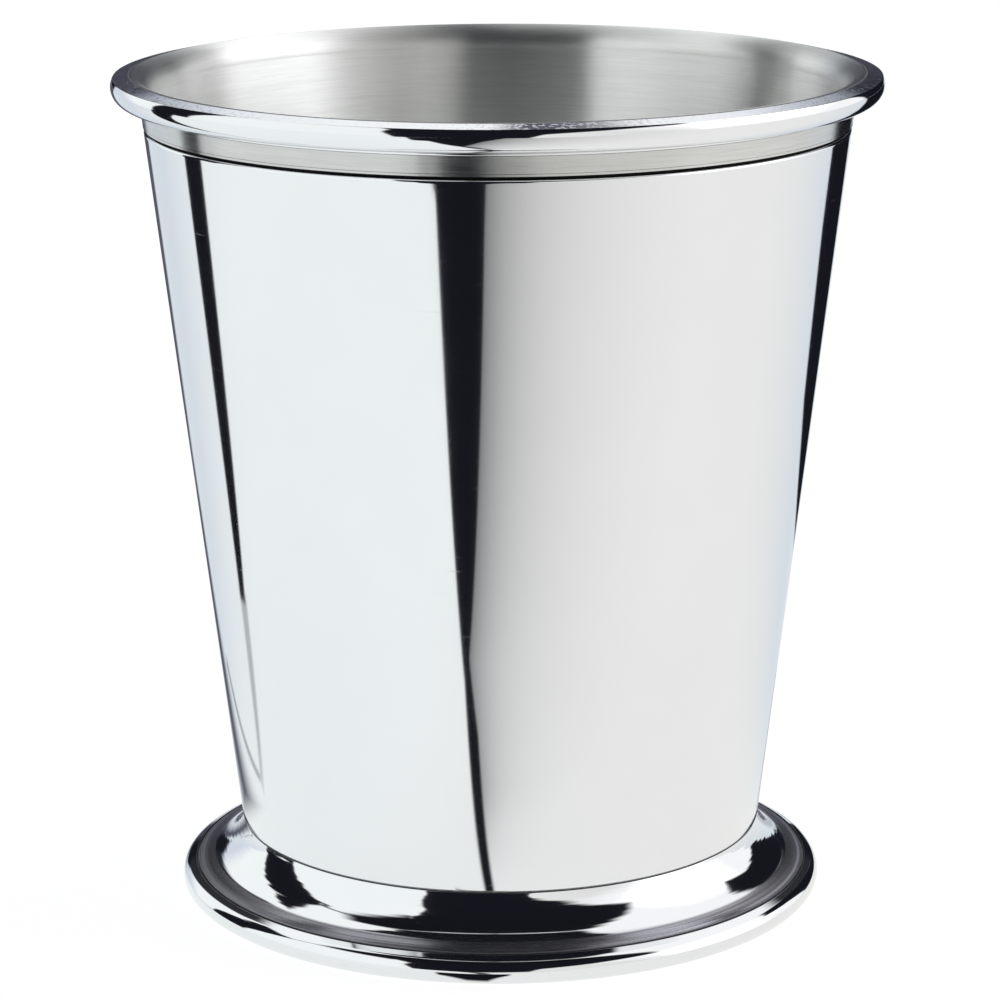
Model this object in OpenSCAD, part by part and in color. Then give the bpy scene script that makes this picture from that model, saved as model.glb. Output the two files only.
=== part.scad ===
// Julep cup: a spun, tapered beaker with soldered mouldings at the lip and the foot.
// The axis is Z, the cup stands on z = 0, and every piece is a ring or shell turned about the axis.

/* [Overall] */
// Height from the table to the crest of the lip
cup_h = 98.75; // [80:0.25:120]
// Height of the foot, from the table to the joint with the body
foot_h = 8.75; // [7.5:0.05:12]

/* [Body] */
// Outer diameter of the tapered wall at its top edge
wall_top_d = 82.4; // [70:0.2:96]
// Outer diameter that the taper reaches at the joint with the foot
wall_base_d = 62.4; // [54:0.5:68]
// Thickness of the wall
wall_t = 1.2; // [0.9:0.05:1.4]
// Thickness of the floor
floor_t = 1.4; // [0.8:0.1:3]
// Radius of the bottom corner, outside
corner_r = 0.2; // [0.1:0.05:1]
// Radius of the bottom corner, inside
inner_corner_r = 3; // [1:0.5:8]
// Radius that softens the top edge of the wall
edge_r = 0.35; // [0.1:0.05:0.4]

/* [Lip] */
// How far the crest of the lip stands outside the top edge of the wall
lip_out = 1.4; // [1:0.05:1.8]
// Height over which the lip turns outward
lip_rise = 2.75; // [2.2:0.05:3.1]
// Thickness of the turned lip
lip_t = 0.75; // [0.5:0.05:0.9]

/* [Rim bead] */
// How far the half-round bead stands outside the top edge of the wall
rim_out = 3.7; // [3.4:0.05:4.5]
// Radius of the half-round bead
rim_bead_r = 1.85; // [1.6:0.05:2.2]
// Drop from the crest of the lip to the sharp edge of the bead
rim_fall = 0.42; // [0.2:0.02:0.8]
// Angle up the half-round at which its sharp edge lies
rim_edge_angle = 31; // [15:1:45]

/* [Collar] */
// Height of the collar band
collar_h = 2.78; // [1.8:0.02:4]
// Depth of the recess in the wall that takes the collar band
collar_t = 0.5; // [0.45:0.05:0.7]
// Height of the fillet along the top edge of the collar band
fillet_h = 0.48; // [0.2:0.02:0.6]
// Height of the fine line along the bottom edge of the collar band
line_h = 0.25; // [0.1:0.05:0.5]
// How far the top fillet stands out of the band
fillet_out = 0.15; // [0.05:0.05:0.3]
// Depth of the fine cut between the band and its fillets
cut_t = 0.06; // [0.02:0.02:0.1]
// Height of the open groove under the collar band
groove_h = 0.35; // [0.15:0.05:0.8]

/* [Foot] */
// How far the foot stands outside the base of the wall, measured over its bead
foot_out = 7.4; // [5:0.1:12]
// How far the neck of the foot stands inside the base of the wall
foot_neck_in = 0.15; // [0:0.05:0.5]
// Height of the outer edge of the brim of the foot
brim_h = 3.5; // [3:0.05:4]
// Angle by which the neck of the foot leans out from upright
neck_lean = 14; // [8:1:20]
// Angle by which the brim of the foot slopes down to its edge
brim_lean = 7; // [3:1:10]
// How far the cove follows the lean of the neck before it curves away
neck_reach = 2.4; // [1.8:0.1:3]
// How far the cove follows the slope of the brim before it curves up
brim_reach = 2.95; // [2:0.05:3.4]
// Radius that softens the top edge of the neck of the foot
neck_edge_r = 0.12; // [0.05:0.01:0.3]
// Thickness of the metal of the foot
foot_t = 1; // [0.7:0.05:1.2]
// Width of the seat that carries the floor of the body
seat_w = 4.1; // [3:0.1:8]
// Radius that softens the outer edge of the foot
foot_edge_r = 0.28; // [0.1:0.02:0.35]
// Radius of the half-round bead of the foot
foot_bead_r = 1.6; // [1.4:0.05:1.7]
// Width of the foot bead, from its flat inner side to its outside
foot_bead_w = 1.75; // [1.7:0.05:2.2]
// Angle up the half-round at which the foot's sharp edge lies
foot_edge_angle = 64; // [45:1:75]
// Drop from the brim to the inner side of the foot bead's land
foot_land_drop = 0.1; // [0.05:0.01:0.2]

/* [Solder] */
// Thickness of the solder between two pieces
solder_t = 0.1; // [0.05:0.01:0.15]

/* [Hidden] */
$fn = 180;

// Points along a round stretch of an outline
arc_steps = 16;
corner_steps = 8;

// Colours of the polished, satin and soldered metal
polished = [0.84, 0.85, 0.87];
satin = [0.90, 0.905, 0.90];
solder_grey = [0.31, 0.31, 0.32];

// Heights up the cup, each worked out from the lip down
rim_bead_z = cup_h - rim_fall - rim_bead_r * sin(rim_edge_angle);
collar_top = rim_bead_z - rim_bead_r;
collar_base = collar_top - collar_h;
shoulder_z = collar_base - groove_h;
flare_z = cup_h - lip_rise;
floor_z = foot_h + floor_t;

// The taper of the wall, and its thickness measured level
taper = (wall_top_d - wall_base_d) / 2 / (shoulder_z - foot_h);
level_t = wall_t * sqrt(1 + taper * taper);

// Radius of the wall outside, inside and behind the collar, at a height
function outer_r(z) = wall_base_d / 2 + taper * (z - foot_h);
function inner_r(z) = outer_r(z) - level_t;
function neck_r(z) = outer_r(z) - collar_t;

// Radii of the lip and the bead round it
lip_r = wall_top_d / 2 + lip_out;
lip_end_z = cup_h - lip_t;
rim_bead_c = [wall_top_d / 2 + rim_out - rim_bead_r, rim_bead_z];
rim_edge = rim_bead_c + rim_bead_r * [cos(rim_edge_angle), sin(rim_edge_angle)];

// Radii of the foot and the bead round it
foot_r = wall_base_d / 2 + foot_out;
foot_bead_at = foot_r - foot_bead_w;
foot_edge_at = foot_bead_at - solder_t;
foot_bead_c = [foot_r - foot_bead_r, foot_bead_r];
foot_neck_at = wall_base_d / 2 - foot_neck_in;
seat_z = foot_h - solder_t;
seat_at = foot_neck_at - seat_w;

// Points of an elliptical arc about a centre, from one angle to another
function arc(c, rx, rz, a0, a1) =
    [for (i = [0:arc_steps]) let (a = a0 + (a1 - a0) * i / arc_steps) c + [rx * cos(a), rz * sin(a)]];

// Points of a curve that leaves p along u and comes to q from the side v, with a reach along each
function sweep(p, u, reach_p, q, v, reach_q) =
    [for (i = [0:arc_steps]) let (t = i / arc_steps, s = 1 - t)
        s * s * s * p + 3 * s * s * t * (p + reach_p * u) + 3 * s * t * t * (q + reach_q * v) + t * t * t * q];

// Points that round the corner p between its neighbours a and b with radius r
function rounded(a, p, b, r) =
    let (u = (a - p) / norm(a - p), v = (b - p) / norm(b - p),
         half = acos(u * v) / 2, mid = (u + v) / norm(u + v),
         c = p + mid * r / sin(half),
         s = p + u * r / tan(half) - c, e = p + v * r / tan(half) - c,
         a0 = atan2(s.y, s.x), turn = atan2(s.x * e.y - s.y * e.x, s * e))
    [for (i = [0:corner_steps]) let (t = a0 + turn * i / corner_steps) c + r * [cos(t), sin(t)]];

// The points of an outline in the opposite order
function backward(points) = [for (i = [len(points) - 1:-1:0]) points[i]];

// Height of the sloping land between the crest of the lip and the bead's edge, at a radius
function land_z(r) = cup_h - rim_fall * (r - lip_r) / (rim_edge.x - lip_r);

// Outside of the turned lip, moved outward by a gap, from the neck up to the end of the lip
function lip_back(gap) =
    arc([lip_r, flare_z], lip_r - neck_r(flare_z) - gap, lip_rise - lip_t - gap, 180, 90);

// Turns an outline of radius and height about the axis
module turned(points) {
    rotate_extrude() polygon(points);
}

// The tapered beaker with its floor, the thinned neck behind the collar and the turned lip
module body_shell() {
    foot_corner = [outer_r(foot_h), foot_h];
    floor_corner = [inner_r(floor_z), floor_z];
    shoulder = [outer_r(shoulder_z), shoulder_z];
    color(polished) turned(concat(
        [[0, foot_h]],
        rounded([0, foot_h], foot_corner, shoulder, corner_r),
        rounded(foot_corner, shoulder, [neck_r(shoulder_z), shoulder_z], edge_r),
        [[neck_r(shoulder_z), shoulder_z]],
        lip_back(0),
        arc([lip_r, flare_z], lip_r - inner_r(flare_z), lip_rise, 90, 180),
        rounded([inner_r(flare_z), flare_z], floor_corner, [0, floor_z], inner_corner_r),
        [[0, floor_z]]));
}

// The half-round moulding round the lip
module rim_bead() {
    inside = lip_r + solder_t;
    color(polished) turned(concat(
        [[neck_r(collar_top) + solder_t, collar_top]],
        arc(rim_bead_c, rim_bead_r, rim_bead_r, -90, rim_edge_angle),
        [[inside, land_z(inside)], [inside, lip_end_z - solder_t]],
        backward(lip_back(solder_t))));
}

// The film of solder between the lip and its bead
module rim_bead_solder() {
    inside = lip_r + solder_t;
    color(solder_grey) turned(concat(
        [[neck_r(collar_top), collar_top], [neck_r(collar_top) + solder_t, collar_top]],
        lip_back(solder_t),
        [[inside, lip_end_z - solder_t], [inside, land_z(inside)], [lip_r, cup_h]],
        backward(lip_back(0))));
}

// The satin band under the bead, with a fillet above and a fine line below
module collar_band() {
    line_top = collar_base + line_h;
    fillet_base = collar_top - fillet_h;
    fillet_mid = (fillet_base + collar_top) / 2;
    color(satin) turned(concat(
        [[neck_r(collar_base) + solder_t, collar_base],
         [outer_r(collar_base), collar_base],
         [outer_r(line_top), line_top],
         [outer_r(line_top) - cut_t, line_top + cut_t / 2],
         [outer_r(line_top), line_top + cut_t],
         [outer_r(fillet_base), fillet_base - cut_t],
         [outer_r(fillet_base) - cut_t, fillet_base - cut_t / 2]],
        arc([outer_r(fillet_base), fillet_mid], fillet_out, fillet_h / 2, -90, 90),
        [[neck_r(collar_top) + solder_t, collar_top]]));
}

// The film of solder between the neck and the collar band
module collar_solder() {
    color(solder_grey) turned([
        [neck_r(collar_base), collar_base],
        [neck_r(collar_base) + solder_t, collar_base],
        [neck_r(collar_top) + solder_t, collar_top],
        [neck_r(collar_top), collar_top]]);
}

// The spun foot: a seat under the floor, a hollow cove, a brim and an edge turned down
module foot_ring() {
    down = [sin(neck_lean), -cos(neck_lean)];
    inward = [-cos(brim_lean), sin(brim_lean)];
    neck_top = [foot_neck_at, seat_z];
    neck = rounded([seat_at, seat_z], neck_top, neck_top + down, neck_edge_r);
    brim_end = [foot_edge_at - foot_edge_r, brim_h];
    brim_corner = brim_end - inward * foot_edge_r / cos(brim_lean);
    under_neck_z = seat_z - foot_t;
    under_neck = [foot_neck_at + foot_t * tan(neck_lean) - foot_t / cos(neck_lean), under_neck_z];
    under_brim = [foot_edge_at - foot_t,
                  brim_h + (foot_t - foot_edge_r) * tan(brim_lean) - foot_t / cos(brim_lean)];
    color(polished) turned(concat(
        [[seat_at, seat_z]],
        neck,
        sweep(neck[corner_steps], down, neck_reach, brim_end, inward, brim_reach),
        rounded(brim_end, brim_corner, [foot_edge_at, 0], foot_edge_r * 0.9),
        [[foot_edge_at, 0], [foot_edge_at - foot_t, 0]],
        backward(sweep(under_neck, down, neck_reach, under_brim, inward, brim_reach)),
        [[seat_at, under_neck_z]]));
}

// The solder between the floor of the body and the seat of the foot
module foot_solder() {
    corner_at = outer_r(foot_h) - corner_r;
    color(solder_grey) turned([
        [seat_at, seat_z], [corner_at, seat_z], [corner_at, foot_h], [seat_at, foot_h]]);
}

// The half-round moulding round the edge of the foot
module foot_bead() {
    color(polished) turned(concat(
        [[foot_bead_at, 0]],
        arc(foot_bead_c, foot_bead_r, foot_bead_r, -90, foot_edge_angle),
        [[foot_bead_at, brim_h - foot_land_drop]]));
}

// The film of solder between the edge of the foot and its bead
module foot_bead_solder() {
    top = brim_h - foot_edge_r;
    color(solder_grey) turned([
        [foot_edge_at, 0], [foot_bead_at, 0], [foot_bead_at, top], [foot_edge_at, top]]);
}

body_shell();
rim_bead();
rim_bead_solder();
collar_band();
collar_solder();
foot_ring();
foot_solder();
foot_bead();
foot_bead_solder();
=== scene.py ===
"""Julep cup: a spun, tapered beaker with soldered mouldings at the lip and the foot.

The file is laid out as an add-on and is run as a script. Each piece is an outline of radius and
height, turned about the Z axis by one Geometry Nodes tree. Lengths in the settings are in metres.
"""

import math

import bmesh
import bpy
from bpy.props import FloatProperty, FloatVectorProperty, IntProperty, PointerProperty
from mathutils import Matrix, Vector


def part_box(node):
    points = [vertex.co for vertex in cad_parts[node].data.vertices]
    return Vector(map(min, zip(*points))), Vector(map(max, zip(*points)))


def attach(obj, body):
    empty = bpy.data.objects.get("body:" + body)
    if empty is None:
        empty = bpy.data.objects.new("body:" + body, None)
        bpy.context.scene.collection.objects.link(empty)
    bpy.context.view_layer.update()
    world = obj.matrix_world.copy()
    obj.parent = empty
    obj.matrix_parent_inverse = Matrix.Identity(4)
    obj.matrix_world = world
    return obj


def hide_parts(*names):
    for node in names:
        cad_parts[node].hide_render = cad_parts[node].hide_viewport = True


bl_info = {
    "name": "Julep Cup",
    "version": (1, 0, 0),
    "blender": (4, 5, 0),
    "location": "View3D > Sidebar > Julep Cup",
    "description": "Builds a spun and soldered julep cup and the small studio it stands in",
    "category": "Add Mesh",
}

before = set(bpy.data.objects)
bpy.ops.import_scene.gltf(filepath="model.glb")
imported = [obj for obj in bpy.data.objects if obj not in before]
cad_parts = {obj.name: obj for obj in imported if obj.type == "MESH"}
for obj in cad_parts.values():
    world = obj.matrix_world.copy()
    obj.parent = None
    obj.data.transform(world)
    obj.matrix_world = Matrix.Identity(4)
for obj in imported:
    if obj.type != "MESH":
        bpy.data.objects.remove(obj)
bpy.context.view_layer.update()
MM = 0.001

# Finish of a stretch of outline: mirror polished, or left as it came from the satin wheel
POLISHED = 0.0
SATIN = 1.0

# Steps along a large curve of an outline, along a curve hidden in a joint, and round a small edge
CURVE_STEPS = 48
HIDDEN_STEPS = 24
EDGE_STEPS = 6

# Straight stretches of an outline from this length on get more points, in millimetres: steps of at most
# the second length, and one point at the third from each end, which keeps the shading flat
LONG_STRETCH = 0.5
LONGEST_STEP = 1.8
END_STEP = 0.05

# Edges that bend by more than this stay sharp, in degrees
CREASE_ANGLE = 28

# Points closer together than this become one, in metres
MERGE_DISTANCE = 2e-7


def cad_width(node):
    """Diameter of a CAD node."""
    low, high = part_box(node)
    return high.x - low.x


def cad_top(node):
    """Height of the top of a CAD node."""
    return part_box(node)[1].z


def cad_bottom(node):
    """Height of the bottom of a CAD node."""
    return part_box(node)[0].z


# Settings that a user would change


def length_setting(name, description, default):
    return FloatProperty(
        name=name, description=description, default=default, unit="LENGTH", subtype="DISTANCE"
    )


def share_setting(name, description, default):
    return FloatProperty(
        name=name, description=description, default=default, min=0.0, max=1.0, subtype="FACTOR"
    )


def colour_setting(name, description, default, soft_max=1.0):
    return FloatVectorProperty(
        name=name, description=description, default=default, soft_max=soft_max, size=3, subtype="COLOR"
    )


class JulepCupSizes(bpy.types.PropertyGroup):
    """Sizes of the cup"""

    height: length_setting("Height", "From the table to the crest of the lip", cad_top("body_shell"))
    wall_top_width: length_setting(
        "Wall Top Width", "Outer diameter of the tapered wall at its top edge", 82.4 * MM
    )
    wall_base_width: length_setting(
        "Wall Base Width", "Outer diameter that the taper reaches at the joint with the foot", 62.4 * MM
    )
    wall_thickness: length_setting("Wall Thickness", "Thickness of the wall of the beaker", 1.2 * MM)
    floor_thickness: length_setting("Floor Thickness", "Thickness of the floor of the beaker", 1.4 * MM)
    lip_rise: length_setting("Lip Rise", "Height over which the lip turns outward", 2.75 * MM)
    lip_thickness: length_setting("Lip Thickness", "Thickness of the turned lip", 0.75 * MM)
    rim_width: length_setting(
        "Rim Width", "Outer diameter over the bead round the lip", cad_width("rim_bead")
    )
    rim_bead_radius: length_setting(
        "Rim Bead Radius", "Radius of the half-round bead round the lip", 1.85 * MM
    )
    collar_height: length_setting(
        "Collar Height",
        "Height of the satin band under the bead",
        cad_top("collar_band") - cad_bottom("collar_band"),
    )
    groove_height: length_setting(
        "Groove Height", "Height of the open groove under the satin band", 0.35 * MM
    )
    foot_height: length_setting(
        "Foot Height", "From the table to the joint of the foot and the beaker", cad_bottom("body_shell")
    )
    foot_width: length_setting(
        "Foot Width", "Outer diameter over the bead round the foot", cad_width("foot_bead")
    )
    brim_height: length_setting(
        "Brim Height", "Height of the brim of the foot above the table", 3.5 * MM
    )
    foot_thickness: length_setting("Foot Thickness", "Thickness of the metal of the foot", 1.0 * MM)
    solder_thickness: length_setting(
        "Solder Thickness", "Thickness of the film of solder between two pieces", 0.1 * MM
    )
    turns: IntProperty(
        name="Steps Round",
        description="Number of flat steps round each turned piece",
        default=360,
        min=24,
    )


class JulepCupFinishes(bpy.types.PropertyGroup):
    """Colours and finishes of the cup"""

    polished_colour: colour_setting(
        "Polished Pewter",
        "Colour of the mirror polished metal",
        (0.84, 0.85, 0.87),
    )
    polished_haze: share_setting("Polished Haze", "Roughness of the mirror polished metal", 0.04)
    satin_colour: colour_setting(
        "Satin Pewter",
        "Colour of the satin metal inside the beaker and on the collar",
        (0.93, 0.935, 0.925),
    )
    satin_roughness: share_setting("Satin Roughness", "Roughness of the satin metal", 0.33)
    solder_colour: colour_setting("Solder", "Colour of the solder", (0.30, 0.30, 0.32))
    # Colour of the brim: a painted purple-grey reflection, laid over the rougher metal there
    brim_sheen: colour_setting(
        "Brim Sheen",
        "Colour of the dull film that the polishing wheel leaves on the brim of the foot",
        (0.22, 0.21, 0.245),
    )
    # Colour of the painted shade in the groove under the collar and along the joints
    joint_shade_colour: colour_setting(
        "Painted Joint Shade",
        "Colour of the dark polish left in the groove and the joints",
        (0.015, 0.015, 0.018),
    )


class JulepCupStudio(bpy.types.PropertyGroup):
    """The studio round the cup"""

    wall_light: FloatProperty(
        name="Studio Walls",
        description="Brightness of the white walls and ceiling that the metal reflects",
        default=1.08,
        min=0.0,
    )
    cool_white: colour_setting(
        "Left Side",
        "White of the left side of the studio",
        (0.955, 0.985, 0.975),
    )
    warm_white: colour_setting(
        "Right Side",
        "White of the right side of the studio",
        (0.925, 0.92, 0.89),
    )
    back_white: colour_setting("Back", "Dimmer white of the back of the studio", (0.72, 0.775, 0.825))
    lamp_white: colour_setting(
        "Lamp", "Brightness and colour of the large lamp", (2.25, 2.25, 2.28), soft_max=10.0
    )
    high_back: colour_setting(
        "Far Back",
        "White of the back wall near the table's far edge, the dimmest in the studio",
        (0.66, 0.71, 0.80),
    )
    ceiling_white: colour_setting(
        "Right Ceiling",
        "White of the right side of the ceiling",
        (1.0, 1.0, 1.0),
    )
    black_card: colour_setting(
        "Black Cards",
        "Colour of the black cards that give the metal its dark edges",
        (0.008, 0.009, 0.013),
    )
    ceiling_shade: colour_setting(
        "Unlit Ceiling",
        "Colour of the unlit strip of ceiling over and behind the cup",
        (0.095, 0.098, 0.130),
    )
    shadow_share: share_setting(
        "Floor Shadow", "How much of the floor's brightness the cup's shadow can take", 0.22
    )
    open_light: FloatProperty(
        name="Open Light",
        description="Light that reaches the open floor, as a share of a white sky",
        default=0.5,
        min=0.0,
    )


# Writing node trees

# How the nodes of a tree are set out in the node editor: their steps across and down, and how many
# stand in a row
NODE_STEPS = (200, 260)
NODES_IN_ROW = 24


class Value:
    """One output of a node tree, on which sums and products are written as plain Python."""

    def __init__(self, graph, socket):
        self.graph = graph
        self.socket = socket

    def maths(self, operation, *others):
        inputs = dict(enumerate((self, *others)))
        return self.graph.add("ShaderNodeMath", {"operation": operation}, inputs)

    def __add__(self, other):
        return self.maths("ADD", other)

    def __sub__(self, other):
        return self.maths("SUBTRACT", other)

    def __mul__(self, other):
        return self.maths("MULTIPLY", other)

    def __truediv__(self, other):
        return self.maths("DIVIDE", other)

    def __radd__(self, other):
        return self.graph.number(other) + self

    def __rsub__(self, other):
        return self.graph.number(other) - self

    def __neg__(self):
        return self * -1.0

    def __mod__(self, other):
        return self.maths("FLOORED_MODULO", other)

    def at_least(self, other):
        return self.maths("MAXIMUM", other)

    def at_most(self, other):
        return self.maths("MINIMUM", other)

    def ramp(self, start, end):
        """0 up to start and 1 past end, with a smooth rise between them."""
        settings = {"interpolation_type": "SMOOTHSTEP"}
        return self.graph.add("ShaderNodeMapRange", settings, {"Value": self, 1: start, 2: end}, "Result")

    def rises_to(self, edge, fade):
        """1 from an edge on. Below it, the fade says where it is 0 and from where it is 1."""
        reach, full = fade
        return self.ramp(edge - reach, edge - full)

    def falls_from(self, edge, fade):
        """1 up to an edge. Past it, the fade says where it is 0 and up to where it is 1."""
        reach, full = fade
        return 1 - self.ramp(edge + full, edge + reach)


class Graph:
    """A node tree under construction."""

    def __init__(self, tree):
        self.tree = tree
        self.count = 0

    def node(self, kind, settings=None, inputs=None):
        """Adds a node, sets its settings first and then the values or links of its inputs."""
        made = self.tree.nodes.new(kind)
        row, column = divmod(self.count, NODES_IN_ROW)
        made.location = (NODE_STEPS[0] * column, -NODE_STEPS[1] * row)
        self.count += 1
        for name, value in (settings or {}).items():
            setattr(made, name, value)
        for name, value in (inputs or {}).items():
            socket = made.inputs[name]
            if isinstance(value, Value):
                self.tree.links.new(value.socket, socket)
            else:
                socket.default_value = value
        return made

    def add(self, kind, settings=None, inputs=None, output=0):
        """Adds a node and returns one of its outputs."""
        return Value(self, self.node(kind, settings, inputs).outputs[output])

    def number(self, value):
        """A plain number as a node, for the left side of a sum or difference."""
        made = self.tree.nodes.new("ShaderNodeValue")
        made.outputs[0].default_value = value
        return Value(self, made.outputs[0])

    def blend(self, share, first, second):
        """A colour between two others."""
        settings = {"data_type": "RGBA"}
        inputs = {"Factor": share, 6: colour(first), 7: colour(second)}
        return self.add("ShaderNodeMix", settings, inputs, 2)

    def vector(self, x, y, z):
        """A vector from its three parts."""
        return self.add("ShaderNodeCombineXYZ", None, {"X": x, "Y": y, "Z": z})

    def parts(self, vector):
        """The three parts of a vector."""
        split = self.node("ShaderNodeSeparateXYZ", None, {0: vector})
        return [Value(self, output) for output in split.outputs]

    def place(self):
        """The place on the surface of a piece, in millimetres."""
        metres = self.add("ShaderNodeTexCoord", None, None, "Object")
        return self.add("ShaderNodeVectorMath", {"operation": "SCALE"}, {0: metres, "Scale": 1 / MM})


def fresh_graph(owner):
    """The emptied node tree of a material or a world."""
    owner.use_nodes = True
    owner.node_tree.nodes.clear()
    return Graph(owner.node_tree)


def colour(value):
    """A colour with its alpha, or a link as it is."""
    if isinstance(value, Value):
        return value
    return (*tuple(value)[:3], 1.0)


# The lathe

# The inputs of the lathe. Closed is 1 for an outline that ends where it starts, and 0 for one that
# starts and ends on the axis
LATHE_INPUTS = (
    ("Outline", "NodeSocketGeometry"),
    ("Steps Round", "NodeSocketInt"),
    ("Closed", "NodeSocketInt"),
    ("Crease Angle", "NodeSocketFloat"),
    ("Outside", "NodeSocketMaterial"),
    ("Inside", "NodeSocketMaterial"),
)


def lathe_sockets(tree):
    """Gives the lathe its inputs and its output, and returns the identifier of each input."""
    sockets = {}
    for name, kind in LATHE_INPUTS:
        sockets[name] = tree.interface.new_socket(name, in_out="INPUT", socket_type=kind).identifier
    tree.interface.new_socket("Piece", in_out="OUTPUT", socket_type="NodeSocketGeometry")
    return sockets


def stored_finish(graph):
    """The finish that is stored on the points of an outline or of a turned piece."""
    return graph.add("GeometryNodeInputNamedAttribute", {"data_type": "FLOAT"}, {"Name": "finish"})


def turned_grid(graph, outline, steps, closed):
    """A grid rolled up round the Z axis, in which every column follows the outline."""
    inputs = {"Geometry": outline}
    size = graph.add("GeometryNodeAttributeDomainSize", {"component": "MESH"}, inputs)
    rows = size + closed
    grid = graph.add("GeometryNodeMeshGrid", None, {"Vertices X": steps + 1, "Vertices Y": rows})
    index = graph.add("GeometryNodeInputIndex")
    angle = (index / rows).maths("FLOOR") / steps * math.tau
    row = index % rows % size

    settings = {"data_type": "FLOAT_VECTOR", "domain": "POINT"}
    inputs = {"Geometry": outline, "Value": graph.add("GeometryNodeInputPosition"), "Index": row}
    radius, _, height = graph.parts(graph.add("GeometryNodeSampleIndex", settings, inputs))
    settings = {"data_type": "FLOAT", "domain": "POINT"}
    inputs = {"Geometry": outline, "Value": stored_finish(graph), "Index": row}
    finish = graph.add("GeometryNodeSampleIndex", settings, inputs)
    inputs = {"Geometry": grid, "Name": "finish", "Value": finish}
    turned = graph.add("GeometryNodeStoreNamedAttribute", settings, inputs)
    place = graph.vector(radius * angle.maths("COSINE"), radius * angle.maths("SINE"), height)
    turned = graph.add("GeometryNodeSetPosition", None, {"Geometry": turned, "Position": place})
    inputs = {"Geometry": turned, "Distance": MERGE_DISTANCE}
    return graph.add("GeometryNodeMergeByDistance", None, inputs)


def smooth_shading(graph, turned, crease):
    """Shades a turned piece smooth, apart from the edges that bend by more than the crease angle."""
    smooth = graph.add("GeometryNodeInputMeshEdgeAngle").maths("LESS_THAN", crease)
    inputs = {"Geometry": turned, "Shade Smooth": True}
    turned = graph.add("GeometryNodeSetShadeSmooth", {"domain": "FACE"}, inputs)
    inputs = {"Geometry": turned, "Shade Smooth": smooth}
    return graph.add("GeometryNodeSetShadeSmooth", {"domain": "EDGE"}, inputs)


def two_metals(graph, turned, outside, inside):
    """Gives a turned piece its outside metal, and the inside metal where its finish is satin."""
    turned = graph.add("GeometryNodeSetMaterial", None, {"Geometry": turned, "Material": outside})
    satin = stored_finish(graph).maths("GREATER_THAN", (POLISHED + SATIN) / 2)
    inputs = {"Geometry": turned, "Selection": satin, "Material": inside}
    return graph.add("GeometryNodeSetMaterial", None, inputs)


def lathe_tree():
    """Geometry Nodes tree that turns an outline of radius (X) and height (Z) about the Z axis."""
    tree = bpy.data.node_groups.new("turn_on_lathe", "GeometryNodeTree")
    sockets = lathe_sockets(tree)
    graph = Graph(tree)
    given = graph.node("NodeGroupInput")
    values = [Value(graph, given.outputs[name]) for name, _ in LATHE_INPUTS]
    outline, steps, closed, crease, outside, inside = values
    turned = turned_grid(graph, outline, steps, closed)
    turned = smooth_shading(graph, turned, crease)
    turned = graph.add("GeometryNodeRealizeInstances", None, {"Geometry": turned})
    turned = two_metals(graph, turned, outside, inside)
    graph.node("NodeGroupOutput", None, {"Piece": turned})
    return tree, sockets


def spread(points):
    """Adds points along the straight stretches of an outline, close together at their ends."""
    made = []
    for (r0, z0, finish0), (r1, z1, finish1) in zip(points, points[1:]):
        made.append((r0, z0, finish0))
        length = math.hypot(r1 - r0, z1 - z0)
        if length < LONG_STRETCH:
            continue
        finish = min(finish0, finish1)
        inner = math.ceil(length / LONGEST_STEP)
        shares = [END_STEP / length, *(i / inner for i in range(1, inner)), 1 - END_STEP / length]
        for share in shares:
            made.append((r0 + (r1 - r0) * share, z0 + (z1 - z0) * share, finish))
    made.append(points[-1])
    return made


def outline_area(points):
    """Area inside an outline, negative where it runs clockwise."""
    pairs = zip(points, points[1:] + points[:1])
    return sum(a[0] * b[1] - b[0] * a[1] for a, b in pairs) / 2


def turn(name, points, outside, inside, closed=True):
    """Turns an outline in millimetres into a finished mesh object at the origin."""
    loop = points + points[:1] if closed else points
    loop = spread(loop)
    if closed:
        loop = loop[:-1]
    if outline_area(loop) < 0:
        loop = loop[::-1]
    count = len(loop)
    mesh = bpy.data.meshes.new(name + "_outline")
    places = [(r * MM, 0.0, z * MM) for r, z, _ in loop]
    mesh.from_pydata(places, [(i, i + 1) for i in range(count - 1)], [])
    finish = mesh.attributes.new("finish", "FLOAT", "POINT")
    finish.data.foreach_set("value", [point[2] for point in loop])
    blank = bpy.data.objects.new(name + "_blank", mesh)
    bpy.context.scene.collection.objects.link(blank)

    tree, sockets = lathe_tree()
    modifier = blank.modifiers.new("turn", "NODES")
    modifier.node_group = tree
    modifier[sockets["Steps Round"]] = bpy.context.scene.julep_sizes.turns
    modifier[sockets["Closed"]] = int(closed)
    modifier[sockets["Crease Angle"]] = math.radians(CREASE_ANGLE)
    modifier[sockets["Outside"]] = outside
    modifier[sockets["Inside"]] = inside

    graph = bpy.context.evaluated_depsgraph_get()
    made = bpy.data.meshes.new_from_object(blank.evaluated_get(graph))
    bpy.data.objects.remove(blank)
    bpy.data.meshes.remove(mesh)
    bpy.data.node_groups.remove(tree)
    made.name = name
    piece = bpy.data.objects.new(name, made)
    bpy.context.scene.collection.objects.link(piece)
    check_turned(piece)
    return piece


def check_turned(piece):
    """Raises an error unless the piece is a closed skin with its faces pointing outward."""
    skin = bmesh.new()
    skin.from_mesh(piece.data)
    open_edges = [edge for edge in skin.edges if len(edge.link_faces) != 2]
    volume = skin.calc_volume(signed=True)
    skin.free()
    if open_edges or volume <= 0:
        raise RuntimeError(f"{piece.name}: {len(open_edges)} open edges, volume {volume:g}")


def finish_piece(piece, node):
    """Fixes a piece to the frame in the place of its CAD node."""
    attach(piece, "root")
    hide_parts(node)


# Outlines, in millimetres, as (radius, height, finish)


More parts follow.
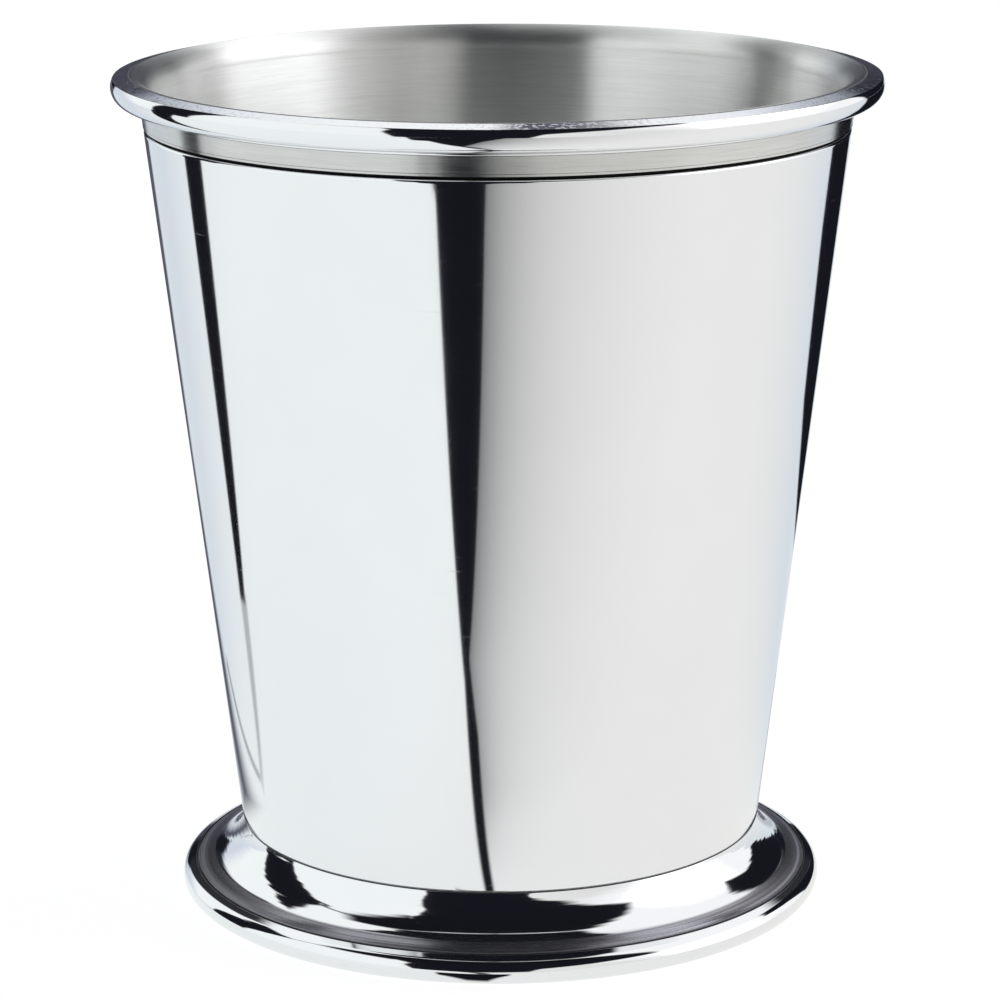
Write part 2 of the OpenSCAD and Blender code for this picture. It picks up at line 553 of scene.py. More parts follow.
def arc(centre, wide, high, start, end, finish=POLISHED, steps=CURVE_STEPS):
    """Points of an elliptical arc about a centre, from one angle to another, in degrees."""
    points = []
    for i in range(steps + 1):
        angle = math.radians(start + (end - start) * i / steps)
        points.append((centre[0] + wide * math.cos(angle), centre[1] + high * math.sin(angle), finish))
    return points


def rounded(before, corner, after, radius, finish=POLISHED, steps=EDGE_STEPS):
    """Points that round a corner between its two neighbours."""
    before, corner, after = (Vector((p[0], p[1])) for p in (before, corner, after))
    back = (before - corner).normalized()
    ahead = (after - corner).normalized()
    half = math.acos(max(-1.0, min(1.0, back.dot(ahead)))) / 2
    centre = corner + (back + ahead).normalized() * (radius / math.sin(half))
    start = corner + back * (radius / math.tan(half)) - centre
    end = corner + ahead * (radius / math.tan(half)) - centre
    first = math.atan2(start.y, start.x)
    bend = math.atan2(start.x * end.y - start.y * end.x, start.dot(end))
    points = []
    for i in range(steps + 1):
        angle = first + bend * i / steps
        points.append((centre.x + radius * math.cos(angle), centre.y + radius * math.sin(angle), finish))
    return points


def sweep(start, away, reach, end, back, end_reach, finish=POLISHED, steps=CURVE_STEPS):
    """Points of a curve that leaves its start in one direction and meets its end from another."""
    first = start + away * reach
    last = end + back * end_reach
    points = []
    for i in range(steps + 1):
        t = i / steps
        s = 1 - t
        place = start * s**3 + first * (3 * s * s * t) + last * (3 * s * t * t) + end * t**3
        points.append((place.x, place.y, finish))
    return points


class Shape:
    """Sizes in millimetres, worked out from the settings as part.scad works them out."""

    def __init__(self):
        self.take_settings(bpy.context.scene.julep_sizes)
        self.work_out_beaker()
        self.work_out_foot()

    def take_settings(self, sizes):
        """The sizes that a user can set."""
        self.cup_h = sizes.height / MM
        self.foot_h = sizes.foot_height / MM
        self.wall_top_r = sizes.wall_top_width / MM / 2
        self.wall_base_r = sizes.wall_base_width / MM / 2
        self.wall_t = sizes.wall_thickness / MM
        self.floor_t = sizes.floor_thickness / MM
        self.lip_rise = sizes.lip_rise / MM
        self.lip_t = sizes.lip_thickness / MM
        self.rim_r = sizes.rim_width / MM / 2
        self.rim_bead_r = sizes.rim_bead_radius / MM
        self.collar_h = sizes.collar_height / MM
        self.groove_h = sizes.groove_height / MM
        self.foot_r = sizes.foot_width / MM / 2
        self.brim_h = sizes.brim_height / MM
        self.foot_t = sizes.foot_thickness / MM
        self.solder_t = sizes.solder_thickness / MM

    def work_out_beaker(self):
        """The sizes of the beaker, its rim bead and its collar."""
        self.corner_r = 0.2
        self.inner_corner_r = 3.0
        self.edge_r = 0.35
        self.collar_t = 0.5
        self.fillet_h = 0.48
        self.fillet_out = 0.15
        self.line_h = 0.25
        self.cut_t = 0.06
        self.rim_fall = 0.42
        self.rim_edge_angle = 31.0
        self.rim_edge_r = 0.07
        self.lip_out = 1.4
        self.lip_r = self.wall_top_r + self.lip_out
        self.lip_end_z = self.cup_h - self.lip_t
        turn_up = math.radians(self.rim_edge_angle)
        self.rim_bead_c = (
            self.rim_r - self.rim_bead_r,
            self.cup_h - self.rim_fall - self.rim_bead_r * math.sin(turn_up),
        )
        self.rim_edge = (
            self.rim_bead_c[0] + self.rim_bead_r * math.cos(turn_up),
            self.rim_bead_c[1] + self.rim_bead_r * math.sin(turn_up),
        )
        self.collar_top = self.rim_bead_c[1] - self.rim_bead_r
        self.collar_base = self.collar_top - self.collar_h
        self.shoulder_z = self.collar_base - self.groove_h
        self.flare_z = self.cup_h - self.lip_rise
        self.floor_z = self.foot_h + self.floor_t
        self.taper = (self.wall_top_r - self.wall_base_r) / (self.shoulder_z - self.foot_h)
        self.level_t = self.wall_t * math.hypot(1, self.taper)

    def work_out_foot(self):
        """The sizes of the foot and its bead."""
        self.foot_bead_r = 1.6
        self.foot_bead_w = 1.75
        self.foot_bead_edge_angle = 64.0
        self.foot_bead_edge_r = 0.05
        self.foot_land_drop = 0.1
        self.foot_bead_at = self.foot_r - self.foot_bead_w
        self.foot_edge_at = self.foot_bead_at - self.solder_t
        self.foot_bead_c = (self.foot_r - self.foot_bead_r, self.foot_bead_r)
        self.foot_edge_r = 0.28
        self.foot_edge_share = 0.9
        self.foot_neck_in = 0.15
        self.foot_neck_at = self.wall_base_r - self.foot_neck_in
        self.neck_edge_r = 0.12
        self.neck_lean = 14.0
        self.brim_lean = 7.0
        self.neck_reach = 2.4
        self.brim_reach = 2.95
        self.seat_z = self.foot_h - self.solder_t
        self.seat_w = 4.1
        self.seat_at = self.foot_neck_at - self.seat_w

    def outer_r(self, z):
        """Radius of the outside of the wall at a height."""
        return self.wall_base_r + self.taper * (z - self.foot_h)

    def inner_r(self, z):
        """Radius of the inside of the wall at a height."""
        return self.outer_r(z) - self.level_t

    def neck_r(self, z):
        """Radius of the neck behind the collar at a height."""
        return self.outer_r(z) - self.collar_t

    def land_z(self, r):
        """Height of the sloping land between the crest of the lip and the bead's edge."""
        return self.cup_h - self.rim_fall * (r - self.lip_r) / (self.rim_edge[0] - self.lip_r)

    def lip_back(self, gap):
        """Outside of the turned lip, moved outward by a gap, from the neck up to the end of the lip."""
        wide = self.lip_r - self.neck_r(self.flare_z) - gap
        high = self.lip_rise - self.lip_t - gap
        return arc((self.lip_r, self.flare_z), wide, high, 180, 90, steps=HIDDEN_STEPS)

    def body(self):
        """The beaker: polished outside, satin inside and under the floor."""
        foot_corner = (self.outer_r(self.foot_h), self.foot_h)
        floor_corner = (self.inner_r(self.floor_z), self.floor_z)
        shoulder = (self.outer_r(self.shoulder_z), self.shoulder_z)
        neck = (self.neck_r(self.shoulder_z), self.shoulder_z)
        flare_c = (self.lip_r, self.flare_z)
        flare_w = self.lip_r - self.inner_r(self.flare_z)
        flare_foot = (self.inner_r(self.flare_z), self.flare_z)
        points = [(0.0, self.foot_h, SATIN), (self.seat_at, self.foot_h, SATIN)]
        points += rounded((0.0, self.foot_h), foot_corner, shoulder, self.corner_r, steps=16)
        points += rounded(foot_corner, shoulder, neck, self.edge_r, steps=10)
        points += [(*neck, POLISHED)]
        points += self.lip_back(0.0)
        points += arc(flare_c, flare_w, self.lip_rise, 90, 180, SATIN)
        floor_centre = (0.0, self.floor_z)
        points += rounded(flare_foot, floor_corner, floor_centre, self.inner_corner_r, SATIN, steps=20)
        points += [(0.0, self.floor_z, SATIN)]
        return points

    def rim_bead(self):
        """The half-round moulding round the lip, with its land and crisp edge."""
        inside = self.lip_r + self.solder_t
        land = (inside, self.land_z(inside))
        curve = arc(self.rim_bead_c, self.rim_bead_r, self.rim_bead_r, -90, self.rim_edge_angle, steps=64)
        points = [(self.neck_r(self.collar_top) + self.solder_t, self.collar_top, POLISHED)]
        points += curve[:-1]
        points += rounded(curve[-2], self.rim_edge, land, self.rim_edge_r, steps=4)
        points += [(*land, POLISHED)]
        points += [(inside, self.lip_end_z - self.solder_t, POLISHED)]
        points += self.lip_back(self.solder_t)[::-1]
        return points

    def rim_solder(self):
        """The film of solder between the lip and its bead."""
        inside = self.lip_r + self.solder_t
        points = [(self.neck_r(self.collar_top), self.collar_top, POLISHED)]
        points += [(self.neck_r(self.collar_top) + self.solder_t, self.collar_top, POLISHED)]
        points += self.lip_back(self.solder_t)
        points += [(inside, self.lip_end_z - self.solder_t, POLISHED)]
        points += [(inside, self.land_z(inside), POLISHED), (self.lip_r, self.cup_h, POLISHED)]
        points += self.lip_back(0.0)[::-1]
        return points

    def collar(self):
        """The satin band, with a round fillet above and a fine cut line above and below it."""
        cut = self.cut_t
        line_top = self.collar_base + self.line_h
        fillet_base = self.collar_top - self.fillet_h
        fillet_mid = (fillet_base + self.collar_top) / 2
        half = (self.collar_top - fillet_base) / 2
        points = [
            (self.neck_r(self.collar_base) + self.solder_t, self.collar_base),
            (self.outer_r(self.collar_base), self.collar_base),
            (self.outer_r(line_top), line_top),
            (self.outer_r(line_top) - cut, line_top + cut / 2),
            (self.outer_r(line_top), line_top + cut),
            (self.outer_r(fillet_base), fillet_base - cut),
            (self.outer_r(fillet_base) - cut, fillet_base - cut / 2),
        ]
        points = [(r, z, SATIN) for r, z in points]
        fillet_c = (self.outer_r(fillet_base), fillet_mid)
        points += arc(fillet_c, self.fillet_out, half, -90, 90, steps=24)
        points += [(self.neck_r(self.collar_top) + self.solder_t, self.collar_top, SATIN)]
        return points

    def collar_solder(self):
        """The film of solder between the neck and the collar band."""
        base = self.neck_r(self.collar_base)
        top = self.neck_r(self.collar_top)
        return [
            (base, self.collar_base, POLISHED),
            (base + self.solder_t, self.collar_base, POLISHED),
            (top + self.solder_t, self.collar_top, POLISHED),
            (top, self.collar_top, POLISHED),
        ]

    def foot(self):
        """The spun foot: a seat, a hollow cove, a brim and an edge turned down to the table."""
        lean = math.radians(self.neck_lean)
        slope = math.radians(self.brim_lean)
        down = Vector((math.sin(lean), -math.cos(lean)))
        inward = Vector((-math.cos(slope), math.sin(slope)))
        neck_top = Vector((self.foot_neck_at, self.seat_z))
        neck = rounded((self.seat_at, self.seat_z), neck_top, neck_top + down, self.neck_edge_r)
        brim = Vector((self.foot_edge_at - self.foot_edge_r, self.brim_h))
        corner = brim - inward * (self.foot_edge_r / math.cos(slope))
        under_neck = neck_top + Vector((
            self.foot_t * math.tan(lean) - self.foot_t / math.cos(lean),
            -self.foot_t,
        ))
        rise = (self.foot_t - self.foot_edge_r) * math.tan(slope)
        under_brim = Vector((
            self.foot_edge_at - self.foot_t,
            self.brim_h + rise - self.foot_t / math.cos(slope),
        ))
        points = [(self.seat_at, self.seat_z, POLISHED)]
        points += neck
        neck_end = Vector(neck[-1][:2])
        points += sweep(neck_end, down, self.neck_reach, brim, inward, self.brim_reach, steps=72)
        edge_r = self.foot_edge_r * self.foot_edge_share
        points += rounded(brim, corner, (self.foot_edge_at, 0.0), edge_r)
        points += [(self.foot_edge_at, 0.0, POLISHED), (self.foot_edge_at - self.foot_t, 0.0, SATIN)]
        points += sweep(under_brim, inward, self.brim_reach, under_neck, down, self.neck_reach, SATIN)
        points += [(self.seat_at, self.seat_z - self.foot_t, SATIN)]
        return points

    def foot_solder(self):
        """The ring of solder between the floor and the seat of the foot."""
        corner_at = self.outer_r(self.foot_h) - self.corner_r
        return [
            (self.seat_at, self.seat_z, POLISHED),
            (corner_at, self.seat_z, POLISHED),
            (corner_at, self.foot_h, POLISHED),
            (self.seat_at, self.foot_h, POLISHED),
        ]

    def foot_bead(self):
        """The half-round moulding round the edge of the foot."""
        land = (self.foot_bead_at, self.brim_h - self.foot_land_drop)
        radius = self.foot_bead_r
        curve = arc(self.foot_bead_c, radius, radius, -90, self.foot_bead_edge_angle, steps=72)
        points = [(self.foot_bead_at, 0.0, POLISHED)]
        points += curve[:-1]
        points += rounded(curve[-2], curve[-1], land, self.foot_bead_edge_r, steps=4)
        points += [(*land, POLISHED)]
        return points

    def foot_bead_solder(self):
        """The film of solder between the edge of the foot and its bead."""
        top = self.brim_h - self.foot_edge_r
        return [
            (self.foot_edge_at, 0.0, POLISHED),
            (self.foot_bead_at, 0.0, POLISHED),
            (self.foot_bead_at, top, POLISHED),
            (self.foot_edge_at, top, POLISHED),
        ]


# Materials

# Heights of the marks on the metal, in millimetres
POLISHING_LINE = 0.00035
BEAD_MARK = 0.0005
COVE_MARK = 0.018
LAND_NICK = 0.0022
SATIN_GRAIN = 0.0016
SATIN_STREAK = 0.003
SOLDER_PIT = 0.01

# Radius at which a mark that runs round the cup has its stated length, and the radius inside which such
# marks run out, in millimetres
MARK_RADIUS = 40
MARK_CENTRE = 0.5

# Part of a turn that lays the sheen of the satin grain round the cup
GRAIN_TURN = 0.25

# Radii between which the rougher brim of the foot and its painted purple-grey reflection set in, in
# millimetres
BRIM_SHEEN = (34.4, 34.9)

# Painted shade round a joint: how far past the joint's edge it reaches, and how far it keeps its full
# strength, in millimetres. On the lip it is a little weaker
GROOVE_ABOVE = (0.05, 0.02)
GROOVE_BELOW = (0.12, 0.02)
FLOOR_JOINT = (0.13, 0.05)
FLOOR_JOINT_INWARD = (0.6, 0.4)
BRIM_JOINT_INWARD = (0.15, 0.05)
BRIM_JOINT_OUTWARD = (0.2, 0.1)
BRIM_JOINT_ABOVE = (2.5, 1.5)
BRIM_JOINT_BELOW = (0.8, 0.6)
LIP_JOINT_INWARD = (0.12, 0.04)
LIP_JOINT_OUTWARD = (0.28, 0.2)
LIP_JOINT_BELOW = (0.5, 0.4)
LIP_JOINT_SHARE = 0.8

# Depths behind the wall between which the painted shade in the groove gets dark, and between which it gets
# clear again
GROOVE_DARKENS = (0.12, 0.3)
GROOVE_CLEARS = (0.6, 0.7)

# How far below the rim's edge the nicks of its land start, and how far above it they are full
LAND_FADE = (-0.03, 0.01)


class Metal:
    """A metal under construction, with the coordinates that lathe marks follow, in millimetres."""

    def __init__(self, name):
        self.material = bpy.data.materials.new(name)
        self.graph = fresh_graph(self.material)
        self.place = self.graph.place()
        self.x, self.y, self.z = self.graph.parts(self.place)
        self.r = (self.x * self.x + self.y * self.y).maths("SQRT")

    def cloud(self, size, detail, seed):
        """Soft uneven patches about so many millimetres across."""
        inputs = {"Vector": self.place, "W": seed, "Scale": 1 / size, "Detail": detail, "Roughness": 0.5}
        return self.graph.add("ShaderNodeTexNoise", {"noise_dimensions": "4D"}, inputs, "Fac")

    def rings(self, pitch, length, seed, detail=1.0):
        """Fine marks that run round the axis, so many millimetres apart and broken along their length."""
        across = self.r.at_least(MARK_CENTRE)
        stretch = MARK_RADIUS / length
        vector = self.graph.vector(self.x / across * stretch, self.y / across * stretch, self.r / pitch)
        height = self.z / pitch + seed
        inputs = {"Vector": vector, "W": height, "Scale": 1.0, "Detail": detail, "Roughness": 0.6}
        return self.graph.add("ShaderNodeTexNoise", {"noise_dimensions": "4D"}, inputs, "Fac")

    def bump(self, height, depth, normal=None):
        """Raises the surface by height times depth, in millimetres."""
        inputs = {"Height": height, "Strength": 1.0, "Distance": depth * MM}
        if normal is not None:
            inputs["Normal"] = normal
        return self.graph.add("ShaderNodeBump", None, inputs, "Normal")

    def finish(self, base, roughness, normal, anisotropic=0.0):
        """Adds the metal's shader and gives the finished material."""
        inputs = {
            "Base Color": colour(base),
            "Metallic": 1.0,
            "Roughness": roughness,
            "Normal": normal,
            "Anisotropic": anisotropic,
            "Anisotropic Rotation": GRAIN_TURN,
        }
        shader = self.graph.add("ShaderNodeBsdfPrincipled", None, inputs)
        self.graph.node("ShaderNodeOutputMaterial", None, {"Surface": shader})
        return self.material


def groove_line(metal, shape):
    """1 inside the groove under the collar, and 0 elsewhere."""
    above = metal.z.rises_to(shape.shoulder_z, GROOVE_BELOW)
    below = metal.z.falls_from(shape.collar_base, GROOVE_ABOVE)
    depth = shape.outer_r(shape.shoulder_z) - metal.r
    return above * below * depth.ramp(*GROOVE_DARKENS) * (1 - depth.ramp(*GROOVE_CLEARS))


def joint_line(metal, shape):
    """1 along the joints of the foot, nearly 1 along the joint of the lip, and 0 elsewhere."""
    floor = metal.z.rises_to(shape.seat_z, FLOOR_JOINT) * metal.z.falls_from(shape.foot_h, FLOOR_JOINT)
    floor = floor * metal.r.rises_to(shape.foot_neck_at, FLOOR_JOINT_INWARD)
    brim = metal.r.rises_to(shape.foot_edge_at, BRIM_JOINT_INWARD)
    brim = brim * metal.r.falls_from(shape.foot_bead_at, BRIM_JOINT_OUTWARD)
    brim = brim * metal.z.rises_to(shape.brim_h, BRIM_JOINT_BELOW)
    brim = brim * metal.z.falls_from(shape.brim_h, BRIM_JOINT_ABOVE)
    lip = metal.r.rises_to(shape.lip_r, LIP_JOINT_INWARD)
    lip = lip * metal.r.falls_from(shape.lip_r, LIP_JOINT_OUTWARD)
    lip = lip * metal.z.rises_to(shape.cup_h, LIP_JOINT_BELOW)
    return floor.at_least(brim).at_least(lip * LIP_JOINT_SHARE)


def painted_joint_shade(metal, shape):
    """How much painted shade a place gets: it gathers in the groove and along the joints."""
    return groove_line(metal, shape).at_least(joint_line(metal, shape))


def polished_pewter(name, shape, tool_marks=0.0, land_nicks=False, dull_brim_and_sheen=False):
    """Mirror polished pewter: a faint haze, fine lines from the polishing wheel and a few scratches."""
    finishes = bpy.context.scene.julep_finishes
    metal = Metal(name)
    haze = metal.cloud(size=9.0, detail=3.0, seed=1.7)
    lines = metal.rings(pitch=0.10, length=14.0, seed=3.1)
    scratches = metal.rings(pitch=0.16, length=5.0, seed=9.4, detail=2.0).ramp(0.66, 0.78)
    painted_shade = painted_joint_shade(metal, shape)
    tint = finishes.polished_colour
    base = metal.graph.blend(haze.ramp(0.25, 0.75) * 0.35, tint, [c * 0.965 for c in tint])
    # Painted shade: the colour goes near black in the groove under the collar and along the joints
    base = metal.graph.blend(painted_shade, base, finishes.joint_shade_colour)
    roughness = finishes.polished_haze + haze * 0.03 + scratches * 0.16 + painted_shade * 0.5
    normal = metal.bump(lines, POLISHING_LINE)
    if tool_marks:
        marks = metal.rings(pitch=0.42, length=60.0, seed=5.5, detail=0.0)
        normal = metal.bump(marks, tool_marks, normal)
    if dull_brim_and_sheen:
        dull_and_sheen = metal.r.ramp(*BRIM_SHEEN)
        streaks = metal.rings(pitch=0.24, length=70.0, seed=4.1).ramp(0.35, 0.65)
        # Painted reflection: the brim turns a darker purple-grey in streaks, as well as getting rougher
        base = metal.graph.blend(dull_and_sheen * (0.70 + streaks * 0.30), base, finishes.brim_sheen)
        roughness = roughness + dull_and_sheen * (0.20 + streaks * 0.08)
    if land_nicks:
        land = (metal.z - shape.rim_edge[1]).ramp(*LAND_FADE)
        pits = metal.cloud(size=0.45, detail=4.0, seed=6.2).ramp(0.52, 0.62)
        drag = metal.rings(pitch=0.14, length=3.0, seed=2.2, detail=3.0)
        roughness = roughness + land * pits * 0.14
        normal = metal.bump(land * (drag * 0.6 + pits), LAND_NICK, normal)
    return metal.finish(base, roughness, normal)


def satin_pewter(name, shape, duller=0.0, shaded_tone=1.0):
    """Satin pewter: an even grain of fine lines round the cup, with soft clouds and darker streaks."""
    finishes = bpy.context.scene.julep_finishes
    metal = Metal(name)
    grain = metal.rings(pitch=0.16, length=5.0, seed=1.3, detail=2.0)
    streaks = metal.rings(pitch=0.9, length=26.0, seed=7.7, detail=2.0)
    cloud = metal.cloud(size=13.0, detail=2.0, seed=4.4)
    # A tone below 1 darkens the whole colour; on the collar this is painted shade
    tint = [c * shaded_tone for c in finishes.satin_colour]
    bright = [min(1.0, c * 1.06) for c in tint]
    wear = grain * 0.5 + streaks * 0.3 + cloud * 0.2
    base = metal.graph.blend(wear.ramp(0.3, 0.7), [c * 0.9 for c in tint], bright)
    painted_shade = painted_joint_shade(metal, shape)
    # Painted shade: the colour goes near black in the groove under the collar and along the joints
    base = metal.graph.blend(painted_shade, base, finishes.joint_shade_colour)
    lip = metal.z.ramp(shape.flare_z + 0.3, shape.cup_h)
    unevenness = (grain - 0.5) * 0.12 + (cloud - 0.5) * 0.08
    roughness = finishes.satin_roughness + duller + unevenness + lip * 0.10
    normal = metal.bump(grain, SATIN_GRAIN)
    normal = metal.bump(streaks, SATIN_STREAK, normal)
    return metal.finish(base, roughness, normal, anisotropic=1.0)


def pewter_solder(name):
    """Solder: duller and darker than the metal it joins, a little pitted."""
    finishes = bpy.context.scene.julep_finishes
    metal = Metal(name)
    pits = metal.cloud(size=0.35, detail=3.0, seed=8.1)
    tint = finishes.solder_colour
    base = metal.graph.blend(pits.ramp(0.4, 0.65), [c * 0.45 for c in tint], tint)
    roughness = 0.32 + pits * 0.25
    return metal.finish(base, roughness, metal.bump(pits, SOLDER_PIT))


# The studio


def card(graph, x, y, corners, soft):
    """1 inside a convex card whose corners run anticlockwise, 0 outside it, with a soft edge."""
    inside = None
    for (ax, ay), (bx, by) in zip(corners, corners[1:] + corners[:1]):
        length = math.hypot(bx - ax, by - ay)
        across = (ay - by) / length
        along = (bx - ax) / length
        distance = x * across + y * along - (ax * across + ay * along)
        inside = distance if inside is None else inside.at_most(distance)
    return inside.ramp(-soft / 2, soft / 2)


# Black cards on the table, each as its corners in millimetres, the softness of its edges and its depth
TABLE_CARDS = (
    (((-10, -43.9), (1.5, -43.9), (1, -41), (-1.5, -38.3), (-4, -38.3), (-8, -39.8)), 0.8, 1),
    (((-3.2, -44), (-21.2, -99), (-17.6, -99), (-10, -80), (-1.2, -44)), 1, 1),
    (((-19.4, -93), (-86, -252), (-17, -252), (-17.4, -93)), 1, 1),
    (((-79.5, -240), (-112, -262), (-680, -1400), (60, -1600), (-17, -240)), 1.2, 1),
    (((-114, 34), (-114, 42), (-325, 167), (-1500, 858), (-1500, 460), (-325, 98)), 3, 1),
    (
        ((66, 144), (105, 150), (158, 168), (250, 240), (292, 285), (1340, 1420), (500, 1480), (130, 350)),
        9,
        1,
    ),
)
# Shaded parts of the table
TABLE_SHADES = (
    (((-49, 14), (-40, 22), (-66, 180), (-104, 205)), 14, 1),
    (((-64, 170), (-150, 1490), (-660, 1450), (-172, 350), (-101, 195)), 24, 1),
    (((-60, 10), (-58.2, 10), (-70, 68), (-74, 70)), 2, 0.6),
    (((-57, 7), (-59, 9.5), (-117, 43.5), (-117, 33)), 3, 0.5),
    (((35, 20), (39, 22), (53, 82), (47, 80)), 4, 0.4),
)

# Black parts of the studio, as corners in degrees from straight up (X right, Y away), softness, depth
FRONT_CARDS = (
    (((-30, -46), (-10, -100), (14, -100), (18, -64), (16, 0), (-22, 5), (-28, -24)), 1.5, 1),
    (((-46, -80), (-46, -100), (0, -100), (0, -40), (-30, -40), (-37, -52)), 1.5, 1),
    (((16, -72), (34, -50), (48, -24), (38, -13), (18, 1), (0, 0), (0, -60)), 5, 1),
    (((-39, 2), (-30, -24), (-16, -20), (-16, 8), (-30, 10)), 6, 1),
    (((-47, 5), (-36, 1.5), (-36, 4.5), (-47, 7.5)), 1.5, 0.9),
)
SIDE_CARDS = (
    (((-100, 22), (-62, 7), (-47, 5), (-41, 20), (-48, 31), (-78, 46), (-100, 56)), 2, 1),
    (((-46, 14), (-41, 18), (-31, 33), (-35, 34), (-46, 30.5)), 2, 1),
    (((-37, 100), (-34, 72), (-29, 72), (-30, 100)), 3, 1),
    (((29, 52), (40, 35), (58, 27), (55, 43), (51, 62), (44, 82), (29, 84)), 3, 1),
    (((29, 62), (54, 42), (64, 70), (72, 100), (28, 100)), 3, 1),
    (((-31, 41), (-25, 40), (-11, 58), (-13, 72), (-36, 100)), 4, 0.98),
    (((12, 62), (20, 52), (31, 48), (31, 100), (14, 100)), 6, 0.98),
)
# The large lamp, low on the right
LAMP_CARDS = ((((53, -27), (76, -35), (84, -10), (82, 18), (55, 31), (51, 16)), 24, 1),)
# Unlit parts of the ceiling and of the back of the studio
CEILING_CARDS = (
    (((0.3, -10), (9.5, -10), (5.8, 59), (0.3, 60)), 1.5, 0.97),
    (((-36, 73), (32, 73), (32, 100), (-38, 100)), 4, 1),
)

# How bright the low right part of the front wall is, as a share of the table's white beside it
LOW_FRONT_SHARE = 0.86

# How bright the unlit ceiling is at its edge, and how bright the front cards are overhead, as shares
# of the ceiling's own shade
CEILING_EDGE_SHARE = 0.6
FRONT_CARD_SHARE = 0.08

# Angles between which one white of the studio passes into the next, in degrees as above
SIDE_FADE = (-60, 60)
LOW_FRONT_FADE = (38, 60)
HIGH_BACK_FADE = (57, 74)
CEILING_FADE = (35, 80)
FRONT_CARD_FADE = (10, 60)

# Places across the table between which its two front whites pass into each other, in millimetres, and
# slopes of the way out between which the white behind the cup takes over
TABLE_SIDE_FADE = (-48, 42)
TABLE_BACK_FADE = (0.0, 1.2)

# The shade at the right of the front card on the table, in millimetres: where its edge bends, how much
# it leans from there on, how soft it is, from where and how much the shade gets wider, and where it ends
PENUMBRA_BEND = (-18, -98)
PENUMBRA_LEAN = 0.30
PENUMBRA_SOFT = (-3.0, 0.5)
PENUMBRA_WIDENS_FROM = 45
PENUMBRA_WIDTH = 14
PENUMBRA_END = (-70, -42)

# The two parts of that shade: how fast each fades over its width, and how dark it is at the edge
PENUMBRA_PARTS = ((-4.5, 0.41), (-1.4, 0.35))

# Half the width of the table, in metres
TABLE_HALF = 1.5

# The camera, as found from the photograph: lens and sensor in millimetres, its turns to the right, down
# and round its own axis in degrees, and its place in metres
CAMERA_LENS = 141.08
CAMERA_SENSOR = 36.0
CAMERA_TURNS = (0.012, 13.953, -0.2003)
CAMERA_PLACE = (0.0, -0.45405, 0.15993)


def any_card(graph, x, y, cards):
    """The depth of the deepest card at a place, and 0 where there is none."""
    covered = None
    for corners, soft, depth in cards:
        here = card(graph, x, y, corners, soft) * depth
        covered = here if covered is None else covered.at_least(here)
    return covered


def penumbra(x, y):
    """The shade beside the front card, darkest at the card's edge and wider towards the camera."""
    bend_x, bend_y = PENUMBRA_BEND
    past = x - (bend_x + (y - bend_y).at_least(0.0) * PENUMBRA_LEAN)
    width = (-y - PENUMBRA_WIDENS_FROM).at_least(PENUMBRA_WIDTH)
    share = past.at_least(0.0) / width
    (near_rate, near_depth), (far_rate, far_depth) = PENUMBRA_PARTS
    near = (share * near_rate).maths("EXPONENT") * near_depth
    far = (share * far_rate).maths("EXPONENT") * far_depth
    return (near + far) * past.ramp(*PENUMBRA_SOFT) * (1 - y.ramp(*PENUMBRA_END))


def build_world():
    """White studio walls with unlit parts in front, behind and overhead, and plain white behind the cup."""
    studio = bpy.context.scene.julep_studio
    world = bpy.data.worlds.new("studio")
    graph = fresh_graph(world)
    x, y, z = graph.parts(graph.add("ShaderNodeTexCoord", None, None, "Generated"))
    level = (x * x + y * y).maths("SQRT").at_least(1e-6)
    from_top = z.at_least(-1.0).at_most(1.0).maths("ARCCOSINE") * (180 / math.pi)
    right = x / level * from_top
    away = y / level * from_top
    side = right.ramp(*SIDE_FADE)
    walls = graph.blend(side, studio.cool_white, studio.ceiling_white)
    low_front = [c * LOW_FRONT_SHARE for c in studio.warm_white]
    walls = graph.blend((-away).ramp(*LOW_FRONT_FADE) * side, walls, low_front)
    walls = graph.blend(away.ramp(*HIGH_BACK_FADE), walls, studio.high_back)
    walls = graph.blend(any_card(graph, right, away, LAMP_CARDS), walls, studio.lamp_white)
    edge_shade = [c * CEILING_EDGE_SHARE for c in studio.ceiling_shade]
    shade = graph.blend(from_top.ramp(*CEILING_FADE), studio.ceiling_shade, edge_shade)
    front_shade = [c * FRONT_CARD_SHARE for c in studio.ceiling_shade]
    front = graph.blend(from_top.ramp(*FRONT_CARD_FADE), front_shade, studio.black_card)
    seen = graph.blend(any_card(graph, right, away, CEILING_CARDS), walls, shade)
    seen = graph.blend(any_card(graph, right, away, FRONT_CARDS), seen, front)
    seen = graph.blend(any_card(graph, right, away, SIDE_CARDS), seen, studio.black_card)
    camera = graph.add("ShaderNodeLightPath", None, None, "Is Camera Ray")
    reflected = graph.add("ShaderNodeBackground", None, {"Color": seen, "Strength": studio.wall_light})
    behind = graph.add("ShaderNodeBackground", None, {"Color": (1.0, 1.0, 1.0, 1.0), "Strength": 1.0})
    both = graph.add("ShaderNodeMixShader", None, {"Fac": camera, 1: reflected, 2: behind})
    graph.node("ShaderNodeOutputWorld", None, {"Surface": both})
    bpy.context.scene.world = world


